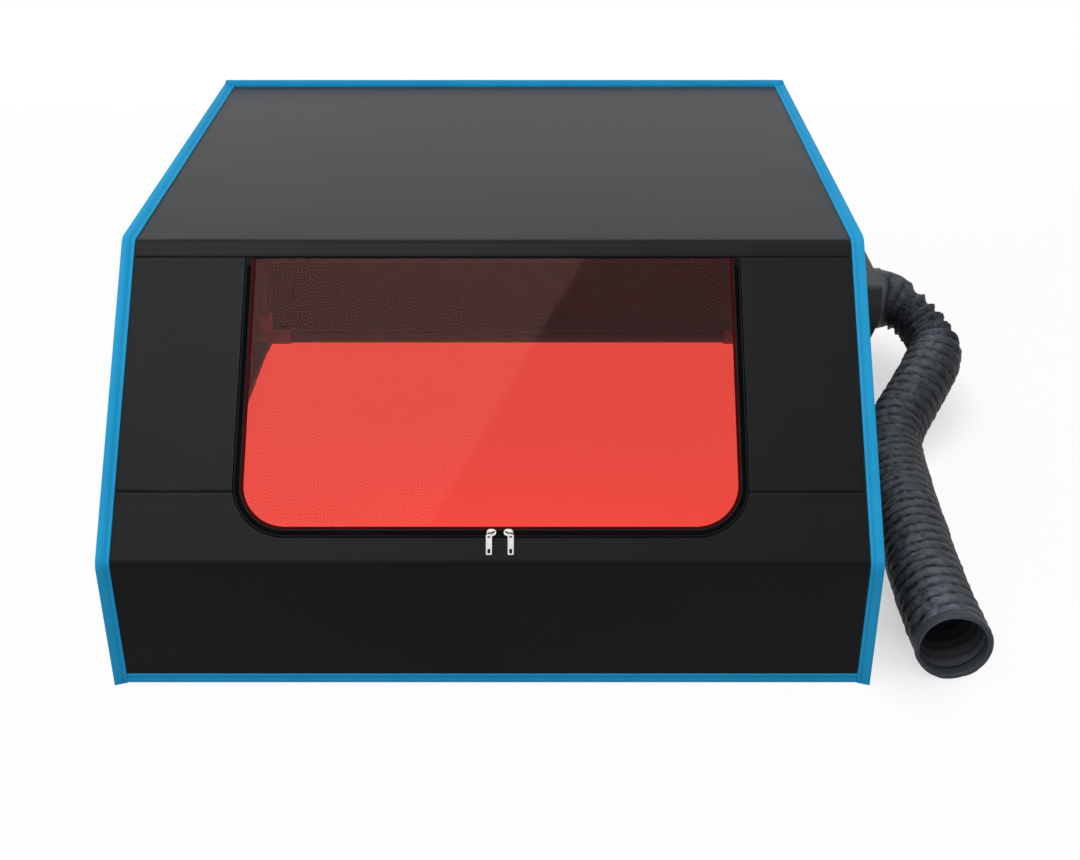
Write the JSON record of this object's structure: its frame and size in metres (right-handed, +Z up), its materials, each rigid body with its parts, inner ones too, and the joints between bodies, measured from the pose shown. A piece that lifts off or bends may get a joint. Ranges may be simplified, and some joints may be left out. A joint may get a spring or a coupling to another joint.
{
  "type": "laser engraver enclosure",
  "caption": "Low fabric box on a tube frame with a sloped front, a zipped see-through window, contrasting seam bindings, a side exhaust fan and a ribbed hose.",
  "frame": {"origin": "bottom of the front face on the centre line, at floor level, under the front hem", "axes": "+X to the right seen from the front, +Y to the back, +Z up"},
  "size_m": [0.9041, 0.76, 0.3601],
  "materials": {
    "shell_fabric": "coated woven, matt",
    "binding": "woven tape",
    "window_film": "clear tinted film",
    "zip": "woven tape with moulded coil",
    "zip_pull": "enamelled",
    "frame_tube": "powder coat",
    "frame_connector": "moulded",
    "fan_plastic": "moulded",
    "guard": "moulded",
    "screw": "zinc plated",
    "hose": "crinkled laminate",
    "hose_ring": "moulded"
  },
  "bodies": {
    "enclosure": {"left_bottom_tube": "frame_tube", "right_bottom_tube": "frame_tube", "left_rear_post": "frame_tube", "right_rear_post": "frame_tube", "left_roof_rail": "frame_tube", "right_roof_rail": "frame_tube", "left_slope_rail": "frame_tube", "right_slope_rail": "frame_tube", "left_front_post": "frame_tube", "right_front_post": "frame_tube", "rear_bottom_bar": "frame_tube", "rear_top_bar": "frame_tube", "front_top_bar": "frame_tube", "knee_bar": "frame_tube", "front_bottom_bar": "frame_tube", "left_rear_bottom_connector": "frame_connector", "right_rear_bottom_connector": "frame_connector", "left_rear_top_connector": "frame_connector", "right_rear_top_connector": "frame_connector", "left_front_top_connector": "frame_connector", "right_front_top_connector": "frame_connector", "left_knee_connector": "frame_connector", "right_knee_connector": "frame_connector", "left_front_bottom_connector": "frame_connector", "right_front_bottom_connector": "frame_connector", "roof_panel": "shell_fabric", "rear_panel": "shell_fabric", "left_side_panel": "shell_fabric", "right_side_panel": "shell_fabric", "left_stile": "shell_fabric", "right_stile": "shell_fabric", "front_apron": "shell_fabric", "left_binding": "binding", "right_binding": "binding", "rear_top_binding": "binding", "front_hem": "binding", "rear_hem": "binding", "left_hem": "binding", "right_hem": "binding", "cover_zip": "zip", "exhaust_housing": "fan_plastic", "fan_frame": "fan_plastic", "finger_guard": "guard", "clamp_plate": "fan_plastic", "fan_screws": "screw", "power_inlet": "fan_plastic", "hose": "hose", "hose_collar": "hose_ring", "hose_end_ring": "hose_ring"},
    "window_flap": {"flap_zip": "zip", "window_film": "window_film"},
    "left_slider": {"left_slider": "zip_pull"},
    "right_slider": {"right_slider": "zip_pull"},
    "left_pull_tab": {"left_pull_tab": "zip_pull"},
    "right_pull_tab": {"right_pull_tab": "zip_pull"},
    "fan_rotor": {"fan_rotor": "fan_plastic"},
    "cable_flap": {"cable_flap": "shell_fabric"}
  },
  "joints": [
    {"name": "window_hinge", "type": "hinge", "parent": "enclosure", "child": "window_flap", "pos_m": [0, 0.20696, 0.33985], "axis": [-1, 0, 0], "range_deg": [0, 170]},
    {"name": "left_slider_slide", "type": "slide", "parent": "window_flap", "child": "left_slider", "axis": [-1, 0, 0], "range_m": [0, 0.168]},
    {"name": "right_slider_slide", "type": "slide", "parent": "window_flap", "child": "right_slider", "axis": [1, 0, 0], "range_m": [0, 0.152]},
    {"name": "left_tab_hinge", "type": "hinge", "parent": "left_slider", "child": "left_pull_tab", "pos_m": [-0.0011, 0.01697, 0.15445], "axis": [-1, 0, 0], "range_deg": [0, 165]},
    {"name": "right_tab_hinge", "type": "hinge", "parent": "right_slider", "child": "right_pull_tab", "pos_m": [0.01835, 0.01697, 0.15445], "axis": [-1, 0, 0], "range_deg": [0, 165]},
    {"name": "fan_spin", "type": "hinge", "parent": "enclosure", "child": "fan_rotor", "pos_m": [0.352, 0.598, 0.108], "axis": [1, 0, 0], "continuous": true},
    {"name": "cable_flap_hinge", "type": "hinge", "parent": "enclosure", "child": "cable_flap", "pos_m": [0, 0.7503, 0.0662], "axis": [1, 0, 0], "range_deg": [0, 95]}
  ]
}
